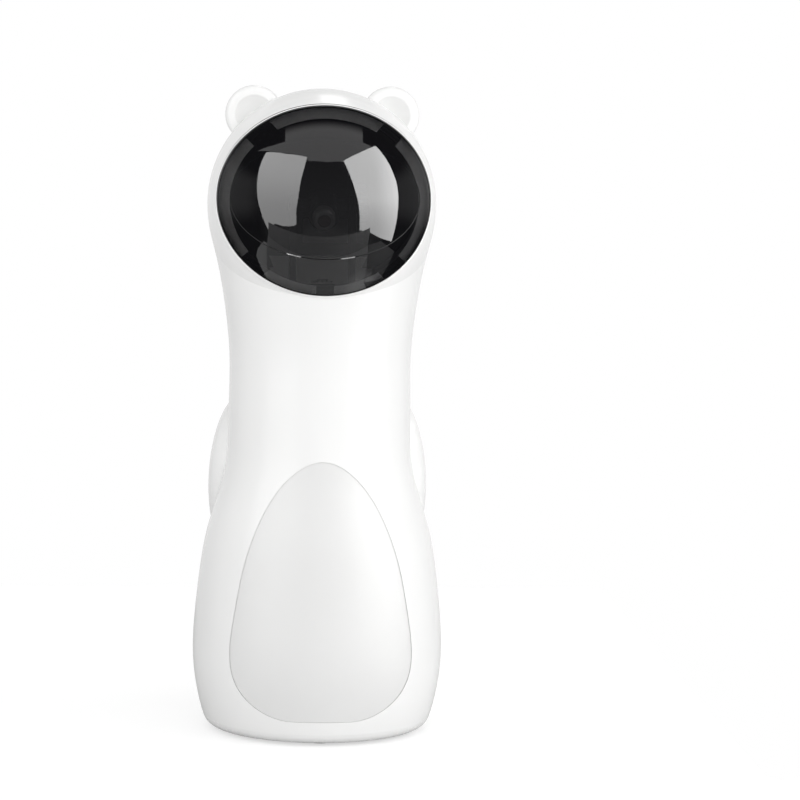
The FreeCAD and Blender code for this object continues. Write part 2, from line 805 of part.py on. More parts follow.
def charging_socket():
    half_x, half_z = socket_width / 2, socket_tall / 2
    end = board_back + socket_depth
    shell = block((-half_x, board_back, socket_height - half_z), (half_x, end, socket_height + half_z))
    edges = [edge for edge in shell.Edges if abs(edge.tangentAt(edge.FirstParameter).y) > 0.9]
    shell = shell.makeFillet(half_z - 0.1, edges)
    mouth = block((-half_x + socket_wall, board_back + 1.2, socket_height - half_z + socket_wall),
                  (half_x - socket_wall, end + 1, socket_height + half_z - socket_wall))
    edges = [edge for edge in mouth.Edges if abs(edge.tangentAt(edge.FirstParameter).y) > 0.9]
    mouth = mouth.makeFillet(half_z - socket_wall - 0.1, edges)
    tongue = block((-half_x + 1.6, board_back, socket_height - 0.35),
                   (half_x - 1.6, end - 1, socket_height + 0.35))
    return shell.cut(mouth).fuse(tongue)


def board_parts():
    """The controller chip, its companions and the lead connector, on the board's front face."""
    chip = block((-chip_size / 2, board_front - chip_thickness, lamp_height - chip_size / 2),
                 (chip_size / 2, board_front, lamp_height + chip_size / 2))
    driver_right = board_half_width - driver_inset
    driver = block((driver_right - driver_size, board_front - chip_thickness, board_bottom + driver_rise),
                   (driver_right, board_front, board_bottom + driver_rise + driver_size))
    capacitor_x = driver_inset - board_half_width
    capacitor_z = board_bottom + driver_rise + capacitor_radius
    capacitor = rod((capacitor_x, board_front - capacitor_length, capacitor_z),
                    (capacitor_x, board_front, capacitor_z), capacitor_radius)
    connector_top = board_top - connector_drop
    connector = block((connector_side, board_front - connector_depth, connector_top - connector_height),
                      (connector_side + connector_width, board_front, connector_top))
    return Part.makeCompound([chip, driver, capacitor, connector])


# ---- mechanism ----
def mechanism_frame():
    plate = rod((0, 0, frame_height), (0, 0, frame_top), frame_radius)
    post = rod((0, pan_axis_y, frame_top), (0, pan_axis_y, gear_bottom - rest_gap), hub_radius)
    frame = plate.fuse(post).removeSplitter()
    frame = frame.cut(rod((0, pan_axis_y, 0), (0, pan_axis_y, far * 2), axle_radius))
    frame = frame.cut(rod((0, pan_motor_y, 0), (0, pan_motor_y, far * 2), shaft_radius + 0.6))
    for x, y in frame_boss_places():
        frame = frame.cut(rod((x, y, 0), (x, y, far * 2), screw_radius + fit_gap))
    for x, y in motor_screw_places():
        frame = frame.cut(rod((x, y, 0), (x, y, far * 2), small_screw_radius + fit_gap))
    return frame


def frame_screws():
    return Part.makeCompound([screw((x, y, frame_top), (0, 0, -1), screw_length - 1, screw_radius,
                                    screw_head_radius) for x, y in frame_boss_places()])


def motor_screw_places():
    reach = motor_radius - 1.6
    return [(-reach, pan_motor_y), (reach, pan_motor_y)]


def pan_motor():
    top = frame_height - rest_gap
    can = rod((0, pan_motor_y, top - motor_length), (0, pan_motor_y, top), motor_radius)
    cap = rod((0, pan_motor_y, top - motor_length - 1.5), (0, pan_motor_y, top - motor_length),
              motor_radius / 2)
    body = joined([can, cap])
    for x, y in motor_screw_places():
        body = body.cut(rod((x, y, top - 3.5), (x, y, top), small_screw_radius))
    return body


def motor_screws():
    screws = []
    for x, y in motor_screw_places():
        screws.append(rod((x, y, frame_height - 3), (x, y, frame_top), small_screw_radius)
                      .fuse(rod((x, y, frame_top), (x, y, frame_top + 0.9), small_screw_head_radius - 0.3)))
    return Part.makeCompound(screws)


def pan_pinion():
    wheel = gear(pinion_teeth, pinion_width, shaft_radius / 2)
    wheel.rotate(V(0, 0, 0), UP, -90 + 180 / pinion_teeth)
    wheel.translate(V(0, pan_motor_y, gear_bottom + (pan_gear_width - pinion_width) / 2))
    shaft = rod((0, pan_motor_y, frame_height), (0, pan_motor_y, gear_top), shaft_radius)
    return joined([wheel, shaft])


def pan_axle():
    top = gear_top + hub_height + clip_thickness + 0.8
    return rod((0, pan_axis_y, frame_height), (0, pan_axis_y, top), axle_radius)


def axle_clip():
    low = gear_top + hub_height + rest_gap
    return pipe((0, pan_axis_y, low), (0, pan_axis_y, low + clip_thickness), hub_radius - 0.6, axle_radius)


def pan_yoke():
    wheel = gear(pan_teeth, pan_gear_width, axle_radius + running_gap)
    wheel.rotate(V(0, 0, 0), UP, 90)
    wheel.translate(V(0, pan_axis_y, gear_bottom))
    hub = rod((0, pan_axis_y, gear_bottom), (0, pan_axis_y, gear_top + hub_height), hub_radius)
    half = yoke_arm_depth / 2
    left = block((-yoke_outer, pan_axis_y - half, gear_bottom + 0.5),
                 (-yoke_inner, pan_axis_y + half, tilt_height))
    left = left.fuse(rod((-yoke_outer, pan_axis_y, tilt_height),
                         (-yoke_inner, pan_axis_y, tilt_height), half))
    right = left.mirror(V(0, 0, 0), RIGHT)
    bracket_half = tilt_motor_radius + 0.8
    bracket = rod((yoke_inner, tilt_motor_y, tilt_motor_z),
                  (yoke_outer, tilt_motor_y, tilt_motor_z), bracket_half)
    bridge = block((yoke_inner, pan_axis_y, tilt_motor_z - bracket_half),
                   (yoke_outer, tilt_motor_y, tilt_motor_z + bracket_half))
    yoke = joined([wheel, hub, left, right, bracket, bridge])
    yoke = yoke.cut(rod((0, pan_axis_y, gear_bottom - 1), (0, pan_axis_y, far * 2),
                        axle_radius + running_gap))
    yoke = yoke.cut(rod((-far, pan_axis_y, tilt_height), (far, pan_axis_y, tilt_height),
                        trunnion_radius + running_gap))
    return yoke.cut(rod((0, tilt_motor_y, tilt_motor_z), (far, tilt_motor_y, tilt_motor_z),
                        shaft_radius + 0.6))


def tilt_motor():
    end = yoke_inner - rest_gap
    can = rod((end - tilt_motor_length, tilt_motor_y, tilt_motor_z), (end, tilt_motor_y, tilt_motor_z),
              tilt_motor_radius)
    rims = [edge for edge in can.Edges if edge.Closed and edge.CenterOfMass.x < 0]
    return can.makeFillet(0.6, rims)


def on_tilt_axis(shape, spin, y, z):
    """Lays a shape made about Z along +X, turned by the spin, at a place beside the right yoke arm."""
    shape.rotate(V(0, 0, 0), UP, spin)
    shape.rotate(V(0, 0, 0), BACK, 90)
    shape.translate(V(tilt_gear_start, y, z))
    return shape


def mesh_spin():
    """Spin that turns a gear's +X side towards its partner on the tilt axis."""
    return math.degrees(math.atan2(tilt_motor_y - pan_axis_y, tilt_height - tilt_motor_z))


def tilt_pinion():
    wheel = on_tilt_axis(gear(pinion_teeth, pinion_width, shaft_radius / 2),
                         mesh_spin() + 180 + 180 / pinion_teeth, tilt_motor_y, tilt_motor_z)
    shaft = rod((yoke_inner, tilt_motor_y, tilt_motor_z),
                (tilt_gear_start + pinion_width, tilt_motor_y, tilt_motor_z), shaft_radius)
    return joined([wheel, shaft])


def tilt_gear():
    return on_tilt_axis(gear(tilt_teeth, pinion_width, trunnion_radius), mesh_spin(), pan_axis_y, tilt_height)


def drooped(shape):
    shape.rotate(V(0, pan_axis_y, tilt_height), RIGHT, laser_droop)
    return shape


def laser_cradle():
    outer = laser_radius + cradle_thickness
    sleeve = rod((0, pan_axis_y - cradle_front, tilt_height),
                 (0, pan_axis_y + cradle_back, tilt_height), outer)
    cheek_end = yoke_inner - 0.3
    cheeks = rod((-cheek_end, pan_axis_y, tilt_height),
                 (cheek_end, pan_axis_y, tilt_height), trunnion_radius + 1.6)
    cradle = sleeve.fuse(cheeks).removeSplitter()
    cradle = cradle.cut(rod((-far, pan_axis_y, tilt_height), (far, pan_axis_y, tilt_height), trunnion_radius))
    bore = rod((0, -far, tilt_height), (0, far, tilt_height), laser_radius + rest_gap / 2)
    return drooped(cradle.cut(bore))


def trunnion_pins():
    inner = laser_radius + cradle_thickness / 2
    left = rod((-yoke_outer - 0.8, pan_axis_y, tilt_height),
               (-inner, pan_axis_y, tilt_height), trunnion_radius)
    right = rod((inner, pan_axis_y, tilt_height),
                (tilt_gear_start + pinion_width, pan_axis_y, tilt_height), trunnion_radius)
    return Part.makeCompound([left, right])


def laser_barrel():
    front, back = pan_axis_y - laser_front, pan_axis_y + laser_back
    barrel = rod((0, front, tilt_height), (0, back, tilt_height), laser_radius)
    nose = min(barrel.Edges, key=lambda edge: edge.CenterOfMass.y)
    barrel = barrel.makeChamfer(0.6, [nose])
    barrel = barrel.cut(rod((0, front, tilt_height), (0, back, tilt_height), laser_bore))
    pocket = rod((0, front, tilt_height), (0, front + lens_disc_thickness + 0.5, tilt_height),
                 lens_disc_radius)
    return drooped(barrel.cut(pocket))


def laser_lens():
    start = pan_axis_y - laser_front + 0.5
    return drooped(rod((0, start, tilt_height), (0, start + lens_disc_thickness, tilt_height),
                       lens_disc_radius))


def parts():
    yield "front_shell", front_shell()
    yield "rear_shell", rear_shell()
    yield "dome_lens", dome_lens()
    yield "dome_bezel", dome_bezel()
    yield "inner_shroud", inner_shroud()
    yield "belly_panel", belly_panel()
    yield "base_plate", base_plate()
    yield "rubber_feet", rubber_feet()
    yield "base_screws", base_screws()
    yield "shell_screws", shell_screws()
    yield "battery_tray", battery_tray()
    for name, index in (("left", -1), ("middle", 0), ("right", 1)):
        yield "battery_cell_" + name, battery_cell(index)
    yield "battery_contacts", battery_contacts()
    yield "battery_springs", battery_springs()
    yield "battery_door", battery_door()
    yield "battery_door_screw", door_screw()
    yield "main_board", main_board()
    yield "board_screws", board_screws()
    yield "board_parts", board_parts()
    yield "power_button", power_button()
    yield "tact_switch", tact_switch()
    yield "status_lamp", status_lamp()
    yield "light_pipe", light_pipe()
    yield "charging_socket", charging_socket()
    yield "mechanism_frame", mechanism_frame()
    yield "frame_screws", frame_screws()
    yield "pan_motor", pan_motor()
    yield "motor_screws", motor_screws()
    yield "pan_pinion", pan_pinion()
    yield "pan_axle", pan_axle()
    yield "axle_clip", axle_clip()
    yield "pan_yoke", pan_yoke()
    yield "tilt_motor", tilt_motor()
    yield "tilt_pinion", tilt_pinion()
    yield "tilt_gear", tilt_gear()
    yield "laser_cradle", laser_cradle()
    yield "trunnion_pins", trunnion_pins()
    yield "laser_barrel", laser_barrel()
    yield "laser_lens", laser_lens()


os.makedirs("parts", exist_ok=True)
for name, shape in parts():
    shape.exportStep("parts/" + name + ".step")
    print(name, len(shape.Solids), round(shape.Volume, 1), shape.isValid())
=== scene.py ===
# %% [markdown]
# # An automatic cat laser toy
# The real toy is a small bear-shaped tower of glossy white plastic. A smoked dome fills its face, and a
# motorised laser turns behind it. The hard parts arrive from CAD at their true size. This notebook gives
# them light and finishes, and adds three thin rings that sit on the dome: a bead, a gasket and a rolled
# edge.

# %% Load the frame
import math

import bpy
import numpy as np
from mathutils import Matrix, Vector


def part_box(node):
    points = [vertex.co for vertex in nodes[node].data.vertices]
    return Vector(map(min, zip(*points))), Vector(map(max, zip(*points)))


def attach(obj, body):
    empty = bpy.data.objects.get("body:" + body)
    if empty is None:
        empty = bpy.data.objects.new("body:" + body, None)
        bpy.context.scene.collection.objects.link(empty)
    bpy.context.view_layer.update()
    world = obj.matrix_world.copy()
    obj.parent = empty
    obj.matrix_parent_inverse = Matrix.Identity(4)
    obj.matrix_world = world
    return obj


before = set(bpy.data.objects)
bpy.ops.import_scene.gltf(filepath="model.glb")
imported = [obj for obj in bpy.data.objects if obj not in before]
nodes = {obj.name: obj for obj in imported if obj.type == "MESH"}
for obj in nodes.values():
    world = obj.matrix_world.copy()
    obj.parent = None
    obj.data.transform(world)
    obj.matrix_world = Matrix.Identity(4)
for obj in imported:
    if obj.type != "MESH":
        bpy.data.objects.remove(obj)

scene = bpy.context.scene
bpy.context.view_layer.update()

# %% [markdown]
# ## The camera
# A product camera stands a metre away, a little above the toy and tipped down at it. A long lens keeps
# the tower's sides upright. The lens is shifted so that the toy stands left of the middle, which turns
# nothing.

# %% Camera
frame_pixels = 800
lens_pixels = 3069.0
axis_column, axis_row = 319.5, 409.1
camera_distance, camera_height = 1.0, 0.2
camera_pitch = math.radians(5.43)
camera_turn = math.radians(2.5)
camera_roll = math.radians(0.65)

camera_data = bpy.data.cameras.new("studio_camera")
camera_data.sensor_width = 36.0
camera_data.lens = lens_pixels / frame_pixels * camera_data.sensor_width
camera_data.shift_x = (frame_pixels / 2 - axis_column) / frame_pixels
camera_data.shift_y = (axis_row - frame_pixels / 2) / frame_pixels
camera_data.clip_start = 0.01
camera = bpy.data.objects.new("studio_camera", camera_data)
scene.collection.objects.link(camera)
scene.camera = camera
camera_place = Vector((-math.sin(camera_turn), -math.cos(camera_turn), 0)) * camera_distance
camera_place.z = camera_height
tip = Matrix.Rotation(math.pi / 2 - camera_pitch, 4, "X")
turn = Matrix.Rotation(-camera_turn, 4, "Z")
roll = Matrix.Rotation(camera_roll, 4, "Z")
camera.matrix_world = Matrix.Translation(camera_place) @ turn @ tip @ roll

# %% [markdown]
# ## Shader maths in plain Python
# Blender's nodes are easy to read one at a time and hard to read by the dozen. One small class wraps a
# socket, so that an expression such as 1 - mask * 0.5 adds the Math nodes by itself. Any other node comes
# from one method.

# %% Wire class
class Wire:
    """A socket of a node tree. Arithmetic on wires adds Math nodes to the tree and gives the wire that
    leaves them."""

    def __init__(self, paint, socket):
        self.paint = paint
        self.socket = socket

    def maths(self, operation, *values):
        return self.paint.maths(operation, *values)

    def __add__(self, other):
        return self.maths("ADD", self, other)

    def __sub__(self, other):
        return self.maths("SUBTRACT", self, other)

    def __mul__(self, other):
        return self.maths("MULTIPLY", self, other)

    def __truediv__(self, other):
        return self.maths("DIVIDE", self, other)

    def __rsub__(self, other):
        return self.maths("SUBTRACT", other, self)

    __radd__ = __add__
    __rmul__ = __mul__

    def above(self, level, softness):
        """0 below the level and 1 above it, with a smooth step as wide as the softness."""
        settings = {"interpolation_type": "SMOOTHSTEP"}
        values = {"Value": self, "From Min": level - softness / 2, "From Max": level + softness / 2}
        return self.paint.node("ShaderNodeMapRange", settings, values)["Result"]

    def below(self, level, softness):
        return 1 - self.above(level, softness)

    def sine(self):
        return self.maths("SINE", self)


class Paint:
    """A material or a world under construction: its node tree, and methods that add nodes to the tree."""

    def __init__(self, owner, place="Object"):
        owner.use_nodes = True
        self.material = owner
        self.tree = owner.node_tree
        self.place = self.node("ShaderNodeTexCoord", {}, {})[place]

    @classmethod
    def called(cls, name):
        """A new material with that name."""
        return cls(bpy.data.materials.new(name))

    def node(self, kind, settings, values):
        """Adds a node, applies its settings, then its values and links, and gives its outputs by name."""
        made = self.tree.nodes.new(kind)
        for key, setting in settings.items():
            setattr(made, key, setting)
        for key, value in values.items():
            self.connect(made.inputs[key], value)
        return {output.name: Wire(self, output) for output in made.outputs if output.enabled}

    def maths(self, operation, *values):
        return self.node("ShaderNodeMath", {"operation": operation}, dict(enumerate(values)))["Value"]

    def vectors(self, operation, *values):
        return self.node("ShaderNodeVectorMath", {"operation": operation}, dict(enumerate(values)))

    def connect(self, socket, value):
        if isinstance(value, Wire):
            self.tree.links.new(value.socket, socket)
        elif socket.type == "RGBA" and len(value) == 3:
            socket.default_value = (*value, 1)
        else:
            socket.default_value = value

    def noise(self, scale, detail=2.0, roughness=0.5, place=None):
        values = {"Vector": place or self.place, "Scale": scale, "Detail": detail, "Roughness": roughness}
        return self.node("ShaderNodeTexNoise", {}, values)["Fac"]

    def axes(self):
        parts = self.node("ShaderNodeSeparateXYZ", {}, {"Vector": self.place})
        return parts["X"], parts["Y"], parts["Z"]

    def blend(self, mask, under, over):
        """One colour over another: the mask is 0 where the first shows and 1 where the second does."""
        factor_input, under_input, over_input = 0, 6, 7
        values = {factor_input: mask, under_input: under, over_input: over}
        return self.node("ShaderNodeMix", {"data_type": "RGBA"}, values)["Result"]

    def relief(self, height, depth, outward=None):
        """A bump whose height of 1 stands that many metres proud. Where a formula gives the outward
        direction, the surface shades by that and not by its mesh."""
        values = {"Height": height, "Distance": depth, "Strength": 1.0}
        if outward:
            turn = {"vector_type": "NORMAL", "convert_from": "OBJECT", "convert_to": "WORLD"}
            direction = self.node("ShaderNodeCombineXYZ", {}, dict(enumerate(outward)))["Vector"]
            values["Normal"] = self.node("ShaderNodeVectorTransform", turn, {"Vector": direction})["Vector"]
        self.set("Normal", self.node("ShaderNodeBump", {}, values)["Normal"])

    def set(self, name, value):
        self.connect(self.tree.nodes["Principled BSDF"].inputs[name], value)

    def surface(self, shader):
        self.connect(self.tree.nodes["Material Output"].inputs["Surface"], shader)

    def constants(self, **values):
        for name, value in values.items():
            self.set(name.replace("_", " ").replace("Ior", "IOR"), value)
        return self

# %% [markdown]
# ## The studio
# The toy stands on a pale sheet that fans out towards the camera. A fold crosses it a quarter of a metre
# in front, with a flap beyond that lies flat and is darker by painted shade. A sheet darker by painted
# shade lies to the right of it and one brighter by painted light to the left. The pale sheet itself has
# painted light: it pales to the right and holds a nearly white pool in front.
# A glossy dome shows their edges as curved lines, so they are real edges here. The background is white to
# the camera and to glass. In mirrors it is pale behind the toy and dims towards the camera, as a studio
# does.

# %% Sheet under the toy
def stage_polygon(name, points, material):
    """One flat face of the studio, with its corners in order."""
    mesh = bpy.data.meshes.new(name)
    mesh.from_pydata(points.tolist(), [], [tuple(range(len(points)))])
    mesh.materials.append(material)
    made = bpy.data.objects.new(name, mesh)
    scene.collection.objects.link(made)
    return made


def flat_sheet(name, corners, height, material):
    """A level sheet: its corners in order, at one height."""
    points = np.column_stack([np.array(corners, float), np.full(len(corners), height)])
    stage_polygon(name, points, material)


def paper(name, colour):
    """A matt sheet with painted light: it pales to the right, and a nearly white round pool of painted
    light lies in front on that side. It is brighter to the camera, as a background is, and a little to
    diffuse rays, as an overlit sheet is."""
    camera_level, bounce_glow = 1.04, 0.12
    pool_x, pool_y, pool_square, pool_softness, painted_pool_colour = 0.12, -0.07, 0.003, 0.005, 0.9
    left_share, painted_light_gain = 0.85, 0.2
    paint = Paint.called(name)
    x, y, z = paint.axes()
    side, ahead = x - pool_x, y - pool_y
    # Painted light: a nearly white round pool in front on the right, and a tint that pales to the right.
    pool = (side * side + ahead * ahead).below(pool_square, pool_softness)
    shade = colour * (left_share + x.above(0.05, 0.3) * painted_light_gain)
    paint.set("Base Color", shade + (painted_pool_colour - shade) * pool)
    paint.constants(Roughness=0.75, Specular_IOR_Level=0.2)
    rays = paint.node("ShaderNodeLightPath", {}, {})
    seen = rays["Is Camera Ray"] + rays["Is Transmission Ray"]
    glow = (camera_level - shade) * seen + bounce_glow * rays["Is Diffuse Ray"]
    light = paint.node("ShaderNodeEmission", {}, {"Color": (1, 1, 1), "Strength": glow})["Emission"]
    shader = Wire(paint, paint.tree.nodes["Principled BSDF"].outputs["BSDF"])
    paint.surface(paint.node("ShaderNodeAddShader", {}, {0: shader, 1: light})["Shader"])
    return paint.material


sheet_back = 0.3
low_sheet = -0.001
fold_gap = 0.004
near_left, near_right = (-0.19, -0.045), (0.135, -0.08)
fold_left, fold_right = (-0.47, -0.235), (0.29, -0.245)
front_left, front_right = (-0.8, -0.43), (0.545, -0.45)
main_corners = [fold_left, fold_right, near_right, (near_right[0], sheet_back), (near_left[0], sheet_back),
                near_left]
flap_corners = [front_left, front_right, (fold_right[0], fold_right[1] - fold_gap),
                (fold_left[0], fold_left[1] - fold_gap)]
right_sheet_corners = [(0.139, -0.081), (0.296, -0.245), (0.42, -0.2), (0.4, -0.03), (0.2, -0.035)]
left_sheet_corners = [(-0.42, -0.16), (-0.34, -0.175), (-0.25, -0.12), (-0.195, -0.08), (-0.17, -0.045),
                      (-0.2, -0.034), (-0.33, -0.04), (-0.38, -0.08)]
# Painted shade and light: the flat flap is darker for the fold, the right sheet darker, the left brighter.
flat_sheet("paper_sheet", main_corners, 0.0, paper("paper_white", 0.52))
flat_sheet("paper_flap", flap_corners, low_sheet, paper("paper_shaded", 0.38))
flat_sheet("paper_side", right_sheet_corners, low_sheet, paper("paper_painted_shade", 0.2))
flat_sheet("paper_left", left_sheet_corners, low_sheet, paper("paper_painted_light", 0.95))

# %% [markdown]
# ## Soft lights and cards
# Two tall softboxes flank the camera, a wide dim one hangs overhead and a small one behind gives the
# crown its highlight. A curved dome shows each as a bent patch, so every card is drawn by the directions
# of its corners as the toy sees them. Cards show in glossy surfaces only. The area lamps do the lighting
# and show in none, so the white plastic stays at its own level.

# %% Cards
dome_middle = Vector((0, 0, 0.172))
card_distance = 1.5


def sky_points(angles, distance):
    """Points at azimuths and elevations round the dome. Azimuth 0 is in front, and 90 at the toy's left."""
    azimuth, elevation = np.radians(np.array(angles, float)).T
    flat = np.cos(elevation)
    directions = np.stack([np.sin(azimuth) * flat, -np.cos(azimuth) * flat, np.sin(elevation)], axis=1)
    return np.array(dome_middle) + distance * directions


def card(name, angles, strength, fades=(), distance=card_distance):
    """A glowing polygon seen by glossy rays alone. A fade is (direction, low, high, share): as the way to a
    spot on it leans along the direction, from low to high, its light rises from that share to the whole."""
    paint = Paint.called(name)
    glow = strength
    for direction, low, high, share in fades:
        away = paint.vectors("SUBTRACT", paint.place, dome_middle)["Vector"]
        unit = paint.vectors("NORMALIZE", away)["Vector"]
        along = paint.vectors("DOT_PRODUCT", unit, direction)["Value"]
        glow = glow * (share + along.above((low + high) / 2, high - low) * (1 - share))
    paint.surface(paint.node("ShaderNodeEmission", {}, {"Color": (1, 1, 1), "Strength": glow})["Emission"])
    panel = stage_polygon(name, sky_points(angles, distance), paint.material)
    for ray in ("camera", "diffuse", "transmission", "volume_scatter", "shadow"):
        setattr(panel, "visible_" + ray, False)


left_corners = [(-89, 42), (-60, 49), (-27, 51), (-27, 40), (-28, 27), (-29, 7), (-31, -5), (-31, -13),
                (-34, -14), (-45, -14), (-55, -12), (-64, -15), (-69, -8), (-73, -1), (-76, 8), (-78, 14),
                (-81, 23), (-85, 32)]
right_corners = [(27, 47), (55, 51), (89, 48), (88, 41), (87, 34), (86, 26), (86, 18), (85, 10), (84, 0),
                 (83, -8), (82, -13), (81, -19), (66, -19), (53, -17), (39, -16), (38, -8), (35, 8),
                 (33, 17), (31, 27), (29, 38)]
top_corners = [(-129, 60), (-108, 62), (-79, 58), (-88, 50), (-102, 38), (-70, 47), (-26, 51), (-25, 47),
               (2, 47), (28, 46), (39, 49), (84, 49), (77, 57), (107, 61), (127, 59), (179, 79)]
crown_corners = [(164, 42), (179, 42), (179, 48), (164, 48)]
upward, down_and_forward, outward_right = (0, 0, 1), (0, -1, -0.61), (1, 0.4, 0)
card("left_softbox", left_corners, 4.4, [(upward, -0.25, 0.7, 0.66)])
card("right_softbox", right_corners, 9.2, [(outward_right, 0.55, 1.0, 0.76), (upward, -0.3, 0.15, 0.68)])
card("overhead_softbox", top_corners, 0.82, [(down_and_forward, -0.76, -0.52, 0.0)], distance=1.7)
card("crown_softbox", crown_corners, 7.5)


# %% Lamps
toy_middle = Vector((0, 0, 0.1))
lamp_distance, lamp_size = 1.2, 0.7


def lamp(name, angles, strength):
    """A square area lamp at an azimuth and elevation, turned to the middle of the toy."""
    data = bpy.data.lights.new(name, "AREA")
    data.size = lamp_size
    data.energy = strength
    made = bpy.data.objects.new(name, data)
    made.location = sky_points([angles], lamp_distance)[0]
    made.rotation_euler = (toy_middle - made.location).to_track_quat("-Z", "Y").to_euler()
    scene.collection.objects.link(made)
    made.visible_glossy = False


lamp("front", (10, 8), 4.15)
lamp("right", (75, 12), 2.5)
lamp("left", (-60, 12), 0.95)


# %% World
def studio_world():
    """White to the camera and through glass. In mirrors it is pale behind the toy, grey at the side walls
    and dim on the camera's side. Its light dims a little with height."""
    darkest, wall_glow, behind_glow = 0.02, 0.18, 0.65
    world = bpy.data.worlds.new("studio")
    scene.world = world
    paint = Paint(world, place="Generated")
    rays = paint.node("ShaderNodeLightPath", {}, {})
    x, y, z = paint.axes()
    behind = y.above(0.8, 0.35)
    wall = y.above(-0.2, 0.5) * z.below(0.35, 0.2) * z.above(-0.1, 0.2)
    camera_side = y.below(-0.4, 0.4)
    mirrored = darkest + (0.11 - 0.07 * z) * camera_side + wall_glow * wall + behind_glow * behind
    lit = 0.89 - 0.1 * z
    seen = rays["Is Camera Ray"] + rays["Is Transmission Ray"]
    glossy = rays["Is Glossy Ray"]
    background = paint.tree.nodes["Background"]
    unseen = glossy * mirrored + (1 - glossy) * lit
    paint.connect(background.inputs["Strength"], seen + (1 - seen) * unseen)
    paint.connect(background.inputs["Color"], (1, 1, 1))


studio_world()
scene.view_settings.view_transform = "Standard"

# %% [markdown]
# ## Where the dome is
# Dome, ring and rims all follow one form: two half ellipsoids joined at the middle of the head. Its
# formula places the thin rings further down. In a material the same sum of squares tells how deep a point
# lies under the dome.

# %% Dome form
dome_centre_height = 0.1721
dome_side, dome_front, dome_up, dome_down = 0.0370, 0.0408, 0.0370, 0.0468
opening_height, opening_half_width, opening_half_height = 0.1741, 0.0346, 0.0302


def dome_depth(x, z, inset=0.0):
    """Depth of the dome in front of the toy's axis: minus the front half-axis times the root of what the
    squares of x and z, each over its own half-axis, leave of 1. The inset shortens every half-axis."""
    tall = np.where(z > dome_centre_height, dome_up, dome_down) - inset
    left = 1 - (x / (dome_side - inset)) ** 2 - ((z - dome_centre_height) / tall) ** 2
    return -(dome_front - inset) * np.sqrt(np.clip(left, 0, None))


def dome_sum(paint):
    """The sum of the squares of x, y and z, each over its half-axis: 1 on the dome, and less inside it."""
    x, y, z = paint.axes()
    rise = z - dome_centre_height
    upper = paint.maths("MAXIMUM", rise, 0.0) / dome_up
    lower = paint.maths("MINIMUM", rise, 0.0) / dome_down
    across, out = x / dome_side, y / dome_front
    return across * across + out * out + upper * upper + lower * lower


def dome_outward(paint):
    """The direction square to the dome: each coordinate over its half-axis squared."""
    x, y, z = paint.axes()
    rise = z - dome_centre_height
    upper = paint.maths("MAXIMUM", rise, 0.0) / dome_up ** 2
    lower = paint.maths("MINIMUM", rise, 0.0) / dome_down ** 2
    return x / dome_side ** 2, y / dome_front ** 2, upper + lower

# %% [markdown]
# ## Glossy white plastic
# The shells are moulded in white ABS and polished. Real polish is never perfect: a faint orange-peel
# ripple bends the highlights, the gloss varies, and the foot of the toy picks up scuffs. The ripple is a
# bump far smaller than a hair, so that it shows in reflections only. Shade is painted in three places:
# the ledge under the dome and the head's inside behind it are black, and the ears' dishes are darker.

# %% White shell
ear_side, ear_height, ear_dish_radius = 0.0222, 0.2008, 0.0062
dish_front, dish_back = 0.0002, 0.0026
head_radius, head_inside = 0.0374, 0.0365
ledge_reach, ledge_back = 1.004, -0.0008
painted_shade_black = (0.012, 0.012, 0.012)


def ear_dish_painted_shade(paint):
    """1 in the dish of either ear: within its circle, behind the seam, and outside the head's ball."""
    x, y, z = paint.axes()
    side = paint.maths("ABSOLUTE", x) - ear_side
    rise, head_rise = z - ear_height, z - dome_centre_height
    circle = (side * side + rise * rise).below(ear_dish_radius ** 2, ear_dish_radius ** 2 * 0.15)
    ball = (x * x + y * y + head_rise * head_rise).above(head_radius ** 2, 0.00001)
    return circle * ball * y.above(dish_front, 0.0001) * y.below(dish_back, 0.0002)


def glossy_white():
    """The shells: white, with shade painted in three places: a little darker in the ears' dishes, and black
    on the dome's ledge and inside the head.
    """
    paint = Paint.called("glossy_white_abs")
    x, y, z = paint.axes()
    cloud = paint.noise(38.0, 3.0)
    colour = paint.blend(cloud, (0.855, 0.855, 0.85), (0.885, 0.885, 0.88))
    scuff = z.below(0.004, 0.004) * paint.noise(900.0, 4.0, 0.6).above(0.62, 0.15)
    colour = paint.blend(scuff * 0.12, colour, (0.46, 0.45, 0.43))
    # Painted shade: the ledge under the dome and the inside of the head behind it are black.
    across, rise = x / opening_half_width, (z - opening_height) / opening_half_height
    ledge = (across * across + rise * rise).below(ledge_reach, 0.004) * y.below(ledge_back, 0.0002)
    head_rise = z - dome_centre_height
    inside = (x * x + y * y + head_rise * head_rise).below(head_inside ** 2, 0.00001)
    colour = paint.blend(paint.maths("MAXIMUM", ledge, inside), colour, painted_shade_black)
    # Painted shade: the ears' dishes are a little darker.
    paint.set("Base Color", paint.blend(ear_dish_painted_shade(paint), colour, (0.8, 0.8, 0.795)))
    paint.set("Roughness", 0.2 + cloud * 0.06 + scuff * 0.3)
    ripple = paint.noise(520.0, 2.0) * 0.7 + paint.noise(5200.0, 1.0) * 0.06
    paint.relief(ripple, 0.000005)
    return paint.constants(IOR=1.45, Specular_IOR_Level=0.2).material


def satin_belly():
    """The belly panel: a light grey insert, spark-eroded so that it shines less than the shell round it."""
    paint = Paint.called("satin_belly_abs")
    cloud = paint.noise(45.0, 3.0)
    paint.set("Base Color", paint.blend(cloud, (0.73, 0.73, 0.725), (0.76, 0.76, 0.755)))
    grain = paint.noise(2600.0, 3.0, 0.6)
    paint.set("Roughness", 0.33 + grain * 0.08)
    paint.relief(grain, 0.000012)
    return paint.constants(IOR=1.45, Specular_IOR_Level=0.3).material
